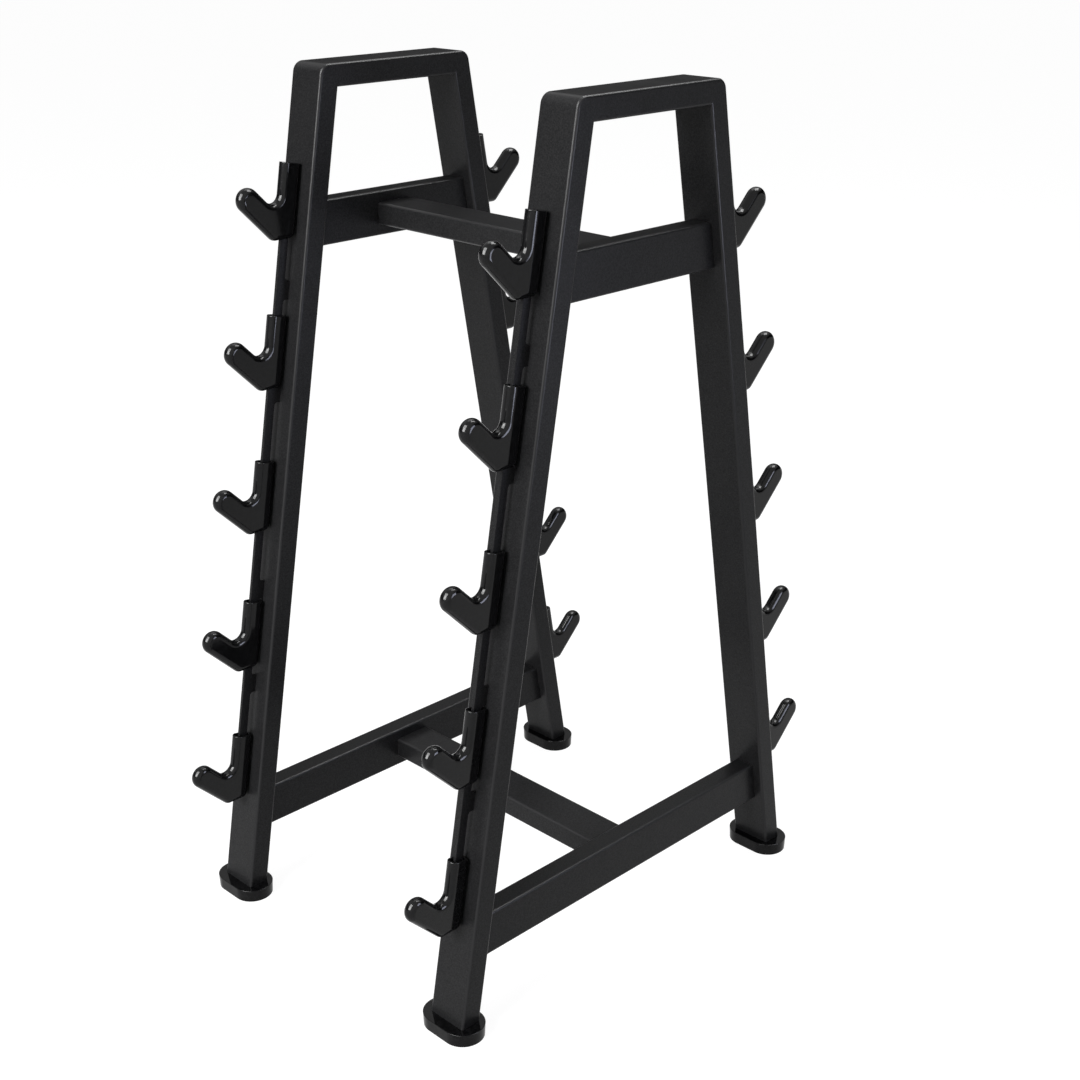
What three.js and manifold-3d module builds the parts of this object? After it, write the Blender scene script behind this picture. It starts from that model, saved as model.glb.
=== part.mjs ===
// Barbell storage rack: two leaning side frames of rectangular steel tube, joined by
// two beams. Each leg carries a laser-cut rail with five upturned hooks, and every
// hook wears a thick moulded cover, so that ten bars rest between the side frames.
// Millimetres, +Z up, bars lie along X, the front is at -Y, the floor is at Z = 0.

import * as THREE from "three";
import { mergeVertices } from "three/addons/utils/BufferGeometryUtils.js";
import Module from "manifold-3d";

const wasm = await Module();
wasm.setup();

// Side frames
const frameHeight = 1530; // top of the side frames above the floor
const frameSpread = 680; // outside to outside across the two side frames
const topDepth = 335; // outside depth of a side frame at its top
const legLean = THREE.MathUtils.degToRad(10);
const frameCorner = 20; // rounding of the upper outer corners
const upperCrossDrop = 231; // top face of the upper cross tube below the frame's top
const lowerCrossTop = 206; // top face of the lower cross tube

// Rectangular tube, used for every member of the frame
const tubeWide = 80;
const tubeThin = 40;
const tubeWall = 3;
const tubeEdge = 4.5; // outer radius along the tube's long edges
const seam = 0.3; // clearance left at each welded seat

// Feet
const footLength = 122;
const footWidth = 76.5;
const footHeight = 24;
const footDraft = 1; // how far the wall draws in towards the floor
const footEdge = 1.5; // rounding of the upper rim
const footFloor = 8.5; // moulding left under the leg

// Hook rails
const railPlate = 6; // plate thickness
const railGap = 10.5; // back of the rail to the leg
const railDepth = 17;
const tabLength = 33.5;
const tabFillet = 6.5;
const tabCount = 7;
const firstTabDrop = 35; // middle of the first tab below the top of the first cover
const lastTabDrop = 84; // middle of the last tab below the top of the last cover

// Hooks and their covers, measured square to the leg and down along it
const hookCount = 5;
const firstHookDrop = 168; // top of the first cover below the frame's outer corner
const lastHookRise = 330; // top of the last cover above the floor
const coverThickness = 23;
const coverRound = 11; // rounding of the cover's long edges
const coverSkin = 11; // moulding over the edge of the steel hook
const coverBack = 1; // back of the cover to the leg
const coverFit = 0.3; // clearance between the cover and the steel
const seatRadius = 16.5; // bar seat
const seatDrop = 55; // centre of the bar seat below the top of the cover
const armReach = 123; // tip of the arm from the leg
const armTip = 21.5; // radius of the arm's round tip
const armRise = THREE.MathUtils.degToRad(45); // arm above the floor plane
const heelDrop = 81; // underside of the cover below the centre of the bar seat
const heelRound = 14;
const backRound = 11.5;
const mouthDepth = 11.5; // pocket round the rail in the top of a cover
const mouthWall = 5; // moulding beside the pocket
const mouthRim = 5.5; // moulding in front of and behind the pocket

// Facets along the curves
const edgeSteps = 2;
const cornerSteps = 32;
const footSteps = 12;
const shownSteps = { seat: 6, tip: 8, heel: 3 }; // hook curves that can be seen
const hiddenSteps = { seat: 3, tip: 3, heel: 2 }; // hook curves inside the moulding
const filletSteps = 2;
const overrun = 60; // length by which cutting and trimmed solids run past

// Derived sizes
const tubeHalf = tubeWide / 2;
const legSin = Math.sin(legLean);
const legCos = Math.cos(legLean);
const sideX = frameSpread / 2 - tubeHalf;
const armPitch = armRise - legLean; // arm against the square to the leg
const legLength = frameHeight / legCos;
const hookPitch = (legLength - firstHookDrop - lastHookRise) / (hookCount - 1);
const cornerTangent = frameCorner * Math.tan((Math.PI / 2 - legLean) / 2);
const railFront = railGap + railDepth;
const coverFront = railFront + coverSkin;
const seatOut = coverFront + seatRadius;

const steel = new THREE.MeshStandardMaterial({ color: 0x2b2b2d, roughness: 0.5, metalness: 0.1 });
const moulding = new THREE.MeshStandardMaterial({ color: 0x111113, roughness: 0.12, metalness: 0 });
const shoe = new THREE.MeshStandardMaterial({ color: 0x1d1d1f, roughness: 0.3, metalness: 0 });

// A closed geometry as a solid that can be joined and cut.
function solidOf(geometry) {
  const bare = geometry.index ? geometry.toNonIndexed() : geometry.clone();
  for (const name of Object.keys(bare.attributes)) {
    if (name !== "position") bare.deleteAttribute(name);
  }
  const merged = mergeVertices(bare);
  return new wasm.Manifold(
    new wasm.Mesh({
      numProp: 3,
      vertProperties: merged.attributes.position.array,
      triVerts: new Uint32Array(merged.index.array),
    }),
  );
}

function geometryOf(solid) {
  const mesh = solid.getMesh();
  const geometry = new THREE.BufferGeometry();
  geometry.setAttribute("position", new THREE.BufferAttribute(mesh.vertProperties, 3));
  geometry.setIndex(new THREE.BufferAttribute(mesh.triVerts, 1));
  const faceted = geometry.toNonIndexed();
  faceted.computeVertexNormals();
  return faceted;
}

function meshOf(name, solid, material) {
  const mesh = new THREE.Mesh(geometryOf(solid), material);
  mesh.name = name;
  return mesh;
}

function box(from, to) {
  const size = new THREE.Vector3().subVectors(to, from);
  const middle = new THREE.Vector3().addVectors(from, to).multiplyScalar(1 / 2);
  const geometry = new THREE.BoxGeometry(size.x, size.y, size.z);
  return geometry.translate(middle.x, middle.y, middle.z);
}

// Keeps the part of a solid that lies beyond a plane through a point.
function keepBeyond(solid, point, normal) {
  return solid.trimByPlane(normal.toArray(), point.dot(normal));
}

// Points along an arc, both ends included.
function arc(centre, radius, from, to, steps) {
  return Array.from({ length: steps + 1 }, (_, i) => {
    const angle = from + ((to - from) * i) / steps;
    return new THREE.Vector2(Math.cos(angle), Math.sin(angle)).multiplyScalar(radius).add(centre);
  });
}

function roundedRectangle(width, height, radius) {
  const x = width / 2 - radius;
  const y = height / 2 - radius;
  const corners = [
    [x, y],
    [-x, y],
    [-x, -y],
    [x, -y],
  ];
  const quarter = Math.PI / 2;
  return corners.flatMap(([cx, cy], i) =>
    arc(new THREE.Vector2(cx, cy), radius, i * quarter, (i + 1) * quarter, edgeSteps),
  );
}

function extrude(points, depth) {
  return new THREE.ExtrudeGeometry(new THREE.Shape(points), { depth, bevelEnabled: false });
}

// Skins a row of rings with the same number of points and closes both ends.
function loft(rings) {
  const count = rings[0].length;
  const positions = rings.flat().flatMap((point) => point.toArray());
  const index = [];
  for (let r = 0; r + 1 < rings.length; r += 1) {
    for (let i = 0; i < count; i += 1) {
      const a = r * count + i;
      const b = r * count + ((i + 1) % count);
      index.push(a, b, b + count, a, b + count, a + count);
    }
  }
  const flat = (ring, first) => {
    const axis = Math.abs(ring[0].x - ring[1].x) + Math.abs(ring[2].x - ring[3].x) > 0;
    const outline = ring.map((p) => (axis ? new THREE.Vector2(p.x, p.y) : new THREE.Vector2(p.y, p.z)));
    return THREE.ShapeUtils.triangulateShape(outline, []).map((face) => face.map((i) => i + first));
  };
  flat(rings[0], 0).forEach(([a, b, c]) => index.push(c, b, a));
  flat(rings.at(-1), (rings.length - 1) * count).forEach(([a, b, c]) => index.push(a, b, c));
  const geometry = new THREE.BufferGeometry();
  geometry.setAttribute("position", new THREE.Float32BufferAttribute(positions, 3));
  geometry.setIndex(index);
  return geometry;
}

// The leg's own axes: local -Y points square out of the leg's outer face, local -Z runs
// down the leg, and the origin is the frame's sharp outer corner.
const legFrame = new THREE.Matrix4()
  .makeTranslation(0, -topDepth / 2, frameHeight)
  .multiply(new THREE.Matrix4().makeRotationX(-legLean));

// Turns an outline drawn as (out, down) and extruded along its depth into the leg's axes.
const outlineToLeg = new THREE.Matrix4().makeBasis(
  new THREE.Vector3(0, -1, 0),
  new THREE.Vector3(0, 0, -1),
  new THREE.Vector3(1, 0, 0),
);

// A straight length of tube along Z, solid when the shrink is zero.
function tubeCore(width, height, length, shrink) {
  const radius = tubeEdge - Math.min(shrink, tubeEdge / 2);
  return extrude(roundedRectangle(width - 2 * shrink, height - 2 * shrink, radius), length).translate(
    0,
    0,
    -length / 2,
  );
}

// The rounding at a frame corner: a wheel with the tube's width and edge radius.
function cornerWheel(shrink) {
  const radius = frameCorner - shrink;
  const half = tubeHalf - shrink;
  const edge = tubeEdge - Math.min(shrink, tubeEdge / 2);
  const quarter = Math.PI / 2;
  const profile = [
    new THREE.Vector2(0, -half),
    ...arc(new THREE.Vector2(radius - edge, edge - half), edge, -quarter, 0, edgeSteps),
    ...arc(new THREE.Vector2(radius - edge, half - edge), edge, 0, quarter, edgeSteps),
    new THREE.Vector2(0, half),
  ];
  return new THREE.LatheGeometry(profile, cornerSteps).rotateZ(-Math.PI / 2);
}

// The mitre halves the angle between the leg and the top tube.
const mitreAngle = Math.PI / 4 + legLean / 2;
const mitreNormal = new THREE.Vector3(0, -Math.sin(mitreAngle), -Math.cos(mitreAngle));
const mitrePoint = new THREE.Vector3(0, -topDepth / 2, frameHeight);

// One body of the leg, outer skin or bore, before its ends are trimmed.
function legBody(shrink) {
  const shaft = tubeCore(tubeWide, tubeThin, legLength + 2 * overrun, shrink)
    .translate(0, tubeThin / 2, -legLength / 2)
    .applyMatrix4(legFrame);
  const block = box(
    new THREE.Vector3(-tubeWide, -overrun, -cornerTangent),
    new THREE.Vector3(tubeWide, frameCorner, 2 * overrun),
  ).applyMatrix4(legFrame);
  const wheel = cornerWheel(shrink).translate(0, frameCorner, -cornerTangent).applyMatrix4(legFrame);
  return solidOf(shaft).subtract(solidOf(block)).add(solidOf(wheel));
}

// Trims a tube at a plane and at that plane's mirror image at the other end.
function trimBothEnds(tube, point, normal) {
  const flip = new THREE.Vector3(1, -1, 1);
  const trimmed = keepBeyond(tube, point, normal);
  return keepBeyond(trimmed, point.clone().multiply(flip), normal.clone().multiply(flip));
}

function legSolid() {
  const seat = new THREE.Vector3(0, 0, footFloor + seam);
  const mitre = mitrePoint.clone().addScaledVector(mitreNormal, seam / 2);
  const tube = legBody(0).subtract(legBody(tubeWall));
  return keepBeyond(keepBeyond(tube, mitre, mitreNormal), seat, new THREE.Vector3(0, 0, 1));
}

function topBody(shrink) {
  const shaft = tubeCore(tubeWide, tubeThin, topDepth + 2 * overrun, shrink)
    .rotateX(Math.PI / 2)
    .translate(0, 0, frameHeight - tubeThin / 2);
  const wheelY = topDepth / 2 - cornerTangent;
  let body = solidOf(shaft);
  for (const end of [-1, 1]) {
    const near = new THREE.Vector3(-tubeWide, end < 0 ? -topDepth : wheelY, frameHeight - frameCorner);
    const far = new THREE.Vector3(tubeWide, end < 0 ? -wheelY : topDepth, frameHeight + overrun);
    body = body.subtract(solidOf(box(near, far)));
    const wheel = cornerWheel(shrink).translate(0, end * wheelY, frameHeight - frameCorner);
    body = body.add(solidOf(wheel));
  }
  return body;
}

function topTubeSolid() {
  const normal = mitreNormal.clone().negate();
  const point = mitrePoint.clone().addScaledVector(normal, seam / 2);
  return trimBothEnds(topBody(0).subtract(topBody(tubeWall)), point, normal);
}

// A cross tube runs between the inner faces of the two legs and is cut to their lean.
function crossTubeSolid(top) {
  const length = topDepth + 2 * frameHeight * Math.tan(legLean);
  const body = (shrink) =>
    solidOf(
      tubeCore(tubeThin, tubeWide, length, shrink)
        .rotateX(Math.PI / 2)
        .translate(0, 0, top - tubeWide / 2),
    );
  const normal = new THREE.Vector3(0, legCos, -legSin);
  const point = mitrePoint.clone().addScaledVector(normal, tubeThin + seam);
  return trimBothEnds(body(0).subtract(body(tubeWall)), point, normal);
}

// A beam lies flat between the cross tubes of the two side frames, centred on them.
function beamSolid(crossTop) {
  const length = 2 * (sideX - tubeThin / 2 - seam);
  const turned = (shrink, run) =>
    solidOf(
      tubeCore(tubeThin, tubeWide, run, shrink)
        .rotateY(Math.PI / 2)
        .translate(0, 0, crossTop - tubeWide / 2),
    );
  return turned(0, length).subtract(turned(tubeWall, length + overrun));
}

// Outline of a foot: two straight sides and two half-round ends.
function obround(length, width, z) {
  const radius = width / 2;
  const run = length / 2 - radius;
  const half = Math.PI / 2;
  const right = arc(new THREE.Vector2(run, 0), radius, -half, half, footSteps);
  const left = arc(new THREE.Vector2(-run, 0), radius, half, 3 * half, footSteps);
  return [...right, ...left].map((p) => new THREE.Vector3(p.x, p.y, z));
}

// Where the middle of the leg passes a given height.
function legMiddleY(z) {
  return -topDepth / 2 - (frameHeight - z) * Math.tan(legLean) + tubeThin / 2 / legCos;
}

// A moulded shoe with a leaning socket that takes the end of the leg.
function footSolid() {
  const diagonal = footEdge * (1 - Math.SQRT1_2);
  const rings = [
    obround(footLength - 2 * footDraft, footWidth - 2 * footDraft, 0),
    obround(footLength, footWidth, footHeight - footEdge),
    obround(footLength - 2 * diagonal, footWidth - 2 * diagonal, footHeight - diagonal),
    obround(footLength - 2 * footEdge, footWidth - 2 * footEdge, footHeight),
  ];
  const body = solidOf(loft(rings).translate(0, legMiddleY(footFloor), 0));
  const socket = solidOf(
    tubeCore(tubeWide, tubeThin, legLength + 2 * overrun, -seam)
      .translate(0, tubeThin / 2, -legLength / 2)
      .applyMatrix4(legFrame),
  );
  const seat = new THREE.Vector3(0, 0, footFloor);
  return body.subtract(keepBeyond(socket, seat, new THREE.Vector3(0, 0, 1)));
}

// Centre of the arm's round tip: the arm leaves the bar seat as a tangent.
function armCentre() {
  const up = new THREE.Vector2(-Math.sin(armPitch), -Math.cos(armPitch));
  const start = new THREE.Vector2(seatOut, seatDrop).addScaledVector(up, -seatRadius - armTip);
  const along = new THREE.Vector2(Math.cos(armPitch), -Math.sin(armPitch));
  return start.addScaledVector(along, (armReach - armTip - start.x) / along.x);
}

// Centre of the heel's rounding, where the arm's underside meets the level underside.
function heelCentre() {
  const armNormal = new THREE.Vector2(Math.sin(armPitch), Math.cos(armPitch));
  const floorNormal = new THREE.Vector2(-legSin, legCos);
  const armReachDown = armCentre().dot(armNormal) + armTip - heelRound;
  const floorReach = new THREE.Vector2(seatOut, seatDrop).dot(floorNormal) + heelDrop - heelRound;
  const det = armNormal.x * floorNormal.y - armNormal.y * floorNormal.x;
  return new THREE.Vector2(
    (armReachDown * floorNormal.y - floorReach * armNormal.y) / det,
    (armNormal.x * floorReach - floorNormal.x * armReachDown) / det,
  );
}

const armTop = -Math.PI / 2 - armPitch;
const armBottom = Math.PI / 2 - armPitch;
const heelEnd = Math.PI / 2 + legLean;

// The hook's working edge from the front of the upright to the heel, drawn in by a given
// amount, as (out, down) from the top of its cover.
function hookFront(inset, steps) {
  const seat = new THREE.Vector2(seatOut, seatDrop);
  return [
    ...arc(seat, seatRadius + inset, Math.PI, armBottom, steps.seat),
    ...arc(armCentre(), armTip - inset, armTop, armBottom, steps.tip),
    ...arc(heelCentre(), heelRound - inset, armBottom, heelEnd, steps.heel),
  ];
}

// The point where the hook's level underside reaches a line along the leg.
function undersideAt(out, inset) {
  const normal = new THREE.Vector2(-legSin, legCos);
  const reach = heelCentre().dot(normal) + heelRound - inset;
  return new THREE.Vector2(out, (reach - out * normal.x) / normal.y);
}

// The rounded corner between the underside and the back of a cover.
function coverHeel(inset) {
  const normal = new THREE.Vector2(-legSin, legCos);
  const x = coverBack + backRound;
  const reach = heelCentre().dot(normal) + heelRound - backRound;
  const centre = new THREE.Vector2(x, (reach - x * normal.x) / normal.y);
  return arc(centre, backRound - inset, heelEnd, Math.PI, shownSteps.heel);
}

// Cover outline, open to extra length above so that its top can be cut square.
function coverOutline(inset) {
  return [
    new THREE.Vector2(coverFront - inset, -2 * coverRound),
    ...hookFront(inset, shownSteps),
    ...coverHeel(inset),
    new THREE.Vector2(coverBack + inset, -2 * coverRound),
  ];
}

function hookTop(index) {
  return firstHookDrop + index * hookPitch;
}

// Back edge of the rail from its foot to its head, with the tabs that reach the leg.
function railBack(grow) {
  const points = [];
  const first = hookTop(0) + firstTabDrop;
  const last = hookTop(hookCount - 1) + lastTabDrop;
  const radius = tabFillet - grow;
  const quarter = Math.PI / 2;
  const edge = railGap - grow;
  for (let i = tabCount - 1; i >= 0; i -= 1) {
    const middle = first + ((last - first) * i) / (tabCount - 1);
    const half = tabLength / 2 + grow;
    const reach = grow > 0 ? -grow : seam;
    const below = new THREE.Vector2(edge - radius, middle + half + radius);
    const above = new THREE.Vector2(edge - radius, middle - half - radius);
    points.push(
      ...arc(below, radius, 0, -quarter, filletSteps),
      new THREE.Vector2(reach, middle + half),
      new THREE.Vector2(reach, middle - half),
      ...arc(above, radius, quarter, 0, filletSteps),
    );
  }
  return points;
}

// The whole rail: a straight spine with five hooks in front and the tabs behind.
function railOutline(grow) {
  const inset = coverSkin - grow;
  const front = railFront + grow;
  const back = railGap - grow;
  const points = [new THREE.Vector2(front, hookTop(0) + inset)];
  for (let i = 0; i < hookCount; i += 1) {
    const shift = new THREE.Vector2(0, hookTop(i));
    const end = undersideAt(i === hookCount - 1 ? back : front, inset);
    points.push(...[...hookFront(inset, hiddenSteps), end].map((p) => p.add(shift)));
  }
  points.push(...railBack(grow), new THREE.Vector2(back, hookTop(0) + inset));
  return points;
}

function railGeometry(grow) {
  const thickness = railPlate + 2 * grow;
  return extrude(railOutline(grow), thickness)
    .translate(0, 0, -thickness / 2)
    .applyMatrix4(outlineToLeg);
}

// Cover body with full-round edges: the outline is drawn in towards both side faces.
function coverBlank() {
  const half = coverThickness / 2;
  const quarter = Math.PI / 2;
  const side = Array.from({ length: edgeSteps + 1 }, (_, i) => (quarter * i) / edgeSteps);
  const levels = [
    ...side.map((a) => [coverRound - half - coverRound * Math.cos(a), coverRound * (1 - Math.sin(a))]),
    ...side
      .toReversed()
      .map((a) => [half - coverRound + coverRound * Math.cos(a), coverRound * (1 - Math.sin(a))]),
  ];
  return loft(levels.map(([x, inset]) => coverOutline(inset).map((p) => new THREE.Vector3(x, -p.x, -p.y))));
}

// Pocket in the top of a cover, wider than the rail that passes down through it.
function coverMouth() {
  const back = coverBack + mouthRim;
  const front = coverFront - mouthRim;
  const width = coverThickness - 2 * mouthWall;
  const outline = roundedRectangle(width, front - back, width / 4).map((p) => new THREE.Vector2(p.x, p.y));
  return extrude(outline, mouthDepth + overrun).translate(0, -(front + back) / 2, -mouthDepth);
}

function coverSolid(index) {
  const top = new THREE.Vector3(0, 0, 0);
  const down = new THREE.Vector3(0, 0, -1);
  let body = keepBeyond(solidOf(coverBlank()), top, down);
  if (index > 0) body = body.subtract(solidOf(coverMouth()));
  const placed = body.translate([0, 0, -hookTop(index)]);
  return placed.subtract(solidOf(railGeometry(coverFit)));
}

// One leg with its foot, rail and covers, at the front of a side frame.
function halfFrame(side, end, solids) {
  const half = new THREE.Group();
  half.add(meshOf(`leg_${side}_${end}`, solids.leg, steel));
  half.add(meshOf(`foot_${side}_${end}`, solids.foot, shoe));
  const leaning = new THREE.Group();
  leaning.applyMatrix4(legFrame);
  leaning.add(meshOf(`hook_rail_${side}_${end}`, solids.rail, steel));
  solids.covers.forEach((cover, i) => {
    leaning.add(meshOf(`hook_cover_${side}_${end}_${i + 1}`, cover, moulding));
  });
  half.add(leaning);
  return half;
}

function sideFrame(side, x, solids) {
  const frame = new THREE.Group();
  frame.position.x = x;
  frame.add(halfFrame(side, "front", solids));
  const rear = halfFrame(side, "rear", solids);
  rear.rotation.z = Math.PI;
  frame.add(rear);
  frame.add(meshOf(`top_tube_${side}`, solids.top, steel));
  frame.add(meshOf(`cross_tube_upper_${side}`, solids.upperCross, steel));
  frame.add(meshOf(`cross_tube_lower_${side}`, solids.lowerCross, steel));
  return frame;
}

const solids = {
  leg: legSolid(),
  foot: footSolid(),
  top: topTubeSolid(),
  upperCross: crossTubeSolid(frameHeight - upperCrossDrop),
  lowerCross: crossTubeSolid(lowerCrossTop),
  rail: solidOf(railGeometry(0)),
  covers: Array.from({ length: hookCount }, (_, i) => coverSolid(i)),
};

const rack = new THREE.Group();
rack.add(sideFrame("left", -sideX, solids));
rack.add(sideFrame("right", sideX, solids));
rack.add(meshOf("beam_upper", beamSolid(frameHeight - upperCrossDrop), steel));
rack.add(meshOf("beam_lower", beamSolid(lowerCrossTop), steel));

export default rack;
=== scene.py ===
"""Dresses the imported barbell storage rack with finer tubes, plates, covers and feet.

The frame of the rack is rectangular steel tube under black powder coat. Laser-cut hook rails
stand on its legs, every hook wears a glossy polyurethane cover, and the legs end in moulded
feet. All sizes below are in millimetres and are turned to metres where a mesh is made.
"""

import logging
import math
from dataclasses import dataclass, field
from enum import Enum
from typing import Callable, Iterable, Sequence

import bpy
from mathutils import Matrix, Vector
from mathutils.geometry import tessellate_polygon


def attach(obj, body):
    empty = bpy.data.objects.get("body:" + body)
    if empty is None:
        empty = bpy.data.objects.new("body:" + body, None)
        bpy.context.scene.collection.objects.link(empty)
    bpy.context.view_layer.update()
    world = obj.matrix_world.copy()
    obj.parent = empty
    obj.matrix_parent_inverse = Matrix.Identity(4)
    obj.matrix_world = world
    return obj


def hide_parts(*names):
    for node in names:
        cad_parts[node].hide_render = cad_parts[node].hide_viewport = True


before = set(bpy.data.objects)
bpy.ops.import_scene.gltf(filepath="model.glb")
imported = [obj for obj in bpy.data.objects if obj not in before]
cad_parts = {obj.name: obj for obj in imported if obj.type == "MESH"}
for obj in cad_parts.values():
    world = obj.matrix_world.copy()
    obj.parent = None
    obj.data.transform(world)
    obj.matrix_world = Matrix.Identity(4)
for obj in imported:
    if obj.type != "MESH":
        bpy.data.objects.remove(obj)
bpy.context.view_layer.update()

MM = 0.001
QUARTER = math.pi / 2
TINY = 1e-6  # a shorter length counts as none
NO_AREA = 1e-7  # a face with less than this, in square millimetres, is left out
POLYMER_IOR = 1.5  # typical of polyester coats, polyurethane and PVC
ROLLED = "rolled"  # the mesh attribute that is 1 on a tube's rolled edges, where the coat gets a painted highlight and more specular
LOG = logging.getLogger("rack")

Point = tuple[float, float]
Move = Callable[[Vector], Vector]


class Side(Enum):
    """The two side frames, with the direction of each along X."""

    LEFT = -1
    RIGHT = 1


class End(Enum):
    """The two sets of hooks, with the direction of each along Y."""

    FRONT = -1
    REAR = 1


class Slot(Enum):
    """The record's material slots."""

    FRAME = "frame_paint"
    COVER = "cover_moulding"
    FOOT = "foot_moulding"


LEGS = [(side, end) for side in Side for end in End]
Finishes = dict[Slot, bpy.types.Material]


# ---- Nodes and colours


def linear(hex_colour: str) -> tuple[float, float, float, float]:
    """Turns an sRGB hex colour into linear values.

    Args:
        hex_colour: Six hex digits.

    Returns:
        Red, green, blue and alpha for a shader socket.
    """
    values = [int(hex_colour[i : i + 2], 16) / 255 for i in (0, 2, 4)]
    curve = [v / 12.92 if v <= 0.04045 else ((v + 0.055) / 1.055) ** 2.4 for v in values]
    return (curve[0], curve[1], curve[2], 1.0)


def add_node(
    tree: bpy.types.NodeTree, kind: str, settings: dict | None = None, links: dict | None = None
) -> bpy.types.Node:
    """Adds one node with its settings and its links.

    Args:
        tree: The node tree that takes the node.
        kind: The node's type name.
        settings: Attribute names, or input names or numbers, with their values.
        links: Input names or numbers with the output sockets that feed them.

    Returns:
        The new node.
    """
    node = tree.nodes.new(kind)
    for name, value in (settings or {}).items():
        if isinstance(name, str) and hasattr(node, name):
            setattr(node, name, value)
        else:
            node.inputs[name].default_value = value
    for name, socket in (links or {}).items():
        tree.links.new(socket, node.inputs[name])
    return node


def new_material(name: str) -> tuple[bpy.types.Material, bpy.types.NodeTree]:
    """Makes an empty node material.

    Args:
        name: The name of the finish.

    Returns:
        The material and its node tree, with no nodes in it.
    """
    material = bpy.data.materials.new(name)
    material.use_nodes = True
    material.node_tree.nodes.clear()
    return material, material.node_tree


# ---- Finishes


@dataclass(frozen=True)
class PowderCoat:
    """Polyester powder coat on steel, sprayed and oven-cured to a fine satin grain.

    The cured grain spreads a highlight into a soft sheen and breaks a flat face into tiny
    lighter and darker specks. Real grain is about 0.4 mm across. It is drawn coarser here,
    because finer grain would not show at the size the rack is seen. The tube's rolled edges
    get a painted highlight, mixed a little towards the lighter speck colour, and more specular
    than its flat faces.
    """

    colour: str = "1b1b1c"
    # Lighter grain specks, and also the painted highlight mixed onto the rolled edges.
    speck_and_edge_highlight: str = "2d2d2e"
    speck_band: Point = (0.35, 0.7)  # grain values at which a speck starts and is full
    roughness: Point = (0.295, 0.33)  # the sheen's range, which drifts in broad clouds
    cloud_band: Point = (0.3, 0.7)  # cloud values that span that range
    specular: float = 0.08
    edge_specular: float = 0.12
    grain_mm: float = 2.4
    cloud_mm: float = 60.0
    relief_mm: float = 0.05
    relief_strength: float = 0.6

    def material(self) -> bpy.types.Material:
        """Builds the powder coat.

        Returns:
            The material for the tubes and the hook rails.
        """
        material, tree = new_material("powder_coated_steel_satin_black")
        place = add_node(tree, "ShaderNodeTexCoord").outputs["Object"]
        grain = add_node(
            tree,
            "ShaderNodeTexNoise",
            {"Scale": 1 / (self.grain_mm * MM), "Detail": 3.0, "Roughness": 0.6},
            {"Vector": place},
        )
        cloud = add_node(
            tree,
            "ShaderNodeTexNoise",
            {"Scale": 1 / (self.cloud_mm * MM), "Detail": 2.0, "Roughness": 0.5},
            {"Vector": place},
        )
        tint = add_node(tree, "ShaderNodeValToRGB", {}, {"Fac": grain.outputs["Fac"]})
        for i, colour in enumerate((self.colour, self.speck_and_edge_highlight)):
            tint.color_ramp.elements[i].position = self.speck_band[i]
            tint.color_ramp.elements[i].color = linear(colour)
        low, high = self.cloud_band
        smooth, rough = self.roughness
        sheen = add_node(
            tree,
            "ShaderNodeMapRange",
            {"From Min": low, "From Max": high, "To Min": smooth, "To Max": rough},
            {"Value": cloud.outputs["Fac"]},
        )
        bump = add_node(
            tree,
            "ShaderNodeBump",
            {"Strength": self.relief_strength, "Distance": self.relief_mm * MM},
            {"Height": grain.outputs["Fac"]},
        )
        rolled = add_node(tree, "ShaderNodeAttribute", {"attribute_name": ROLLED}).outputs["Fac"]
        shine = add_node(
            tree,
            "ShaderNodeMapRange",
            {"To Min": self.specular, "To Max": self.edge_specular},
            {"Value": rolled},
        )
        # Painted highlight: the rolled edges are mixed towards the lighter speck colour.
        painted_edge_highlight = add_node(
            tree,
            "ShaderNodeMix",
            {"data_type": "RGBA", "B": linear(self.speck_and_edge_highlight)},
            {"Factor": rolled, "A": tint.outputs["Color"]},
        )
        shader = add_node(
            tree,
            "ShaderNodeBsdfPrincipled",
            {"IOR": POLYMER_IOR, "Metallic": 0.0},
            {
                "Base Color": painted_edge_highlight.outputs["Result"],
                "Roughness": sheen.outputs["Result"],
                "Specular IOR Level": shine.outputs["Result"],
                "Normal": bump.outputs["Normal"],
            },
        )
        add_node(tree, "ShaderNodeOutputMaterial", {}, {"Surface": shader.outputs["BSDF"]})
        return material


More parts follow.
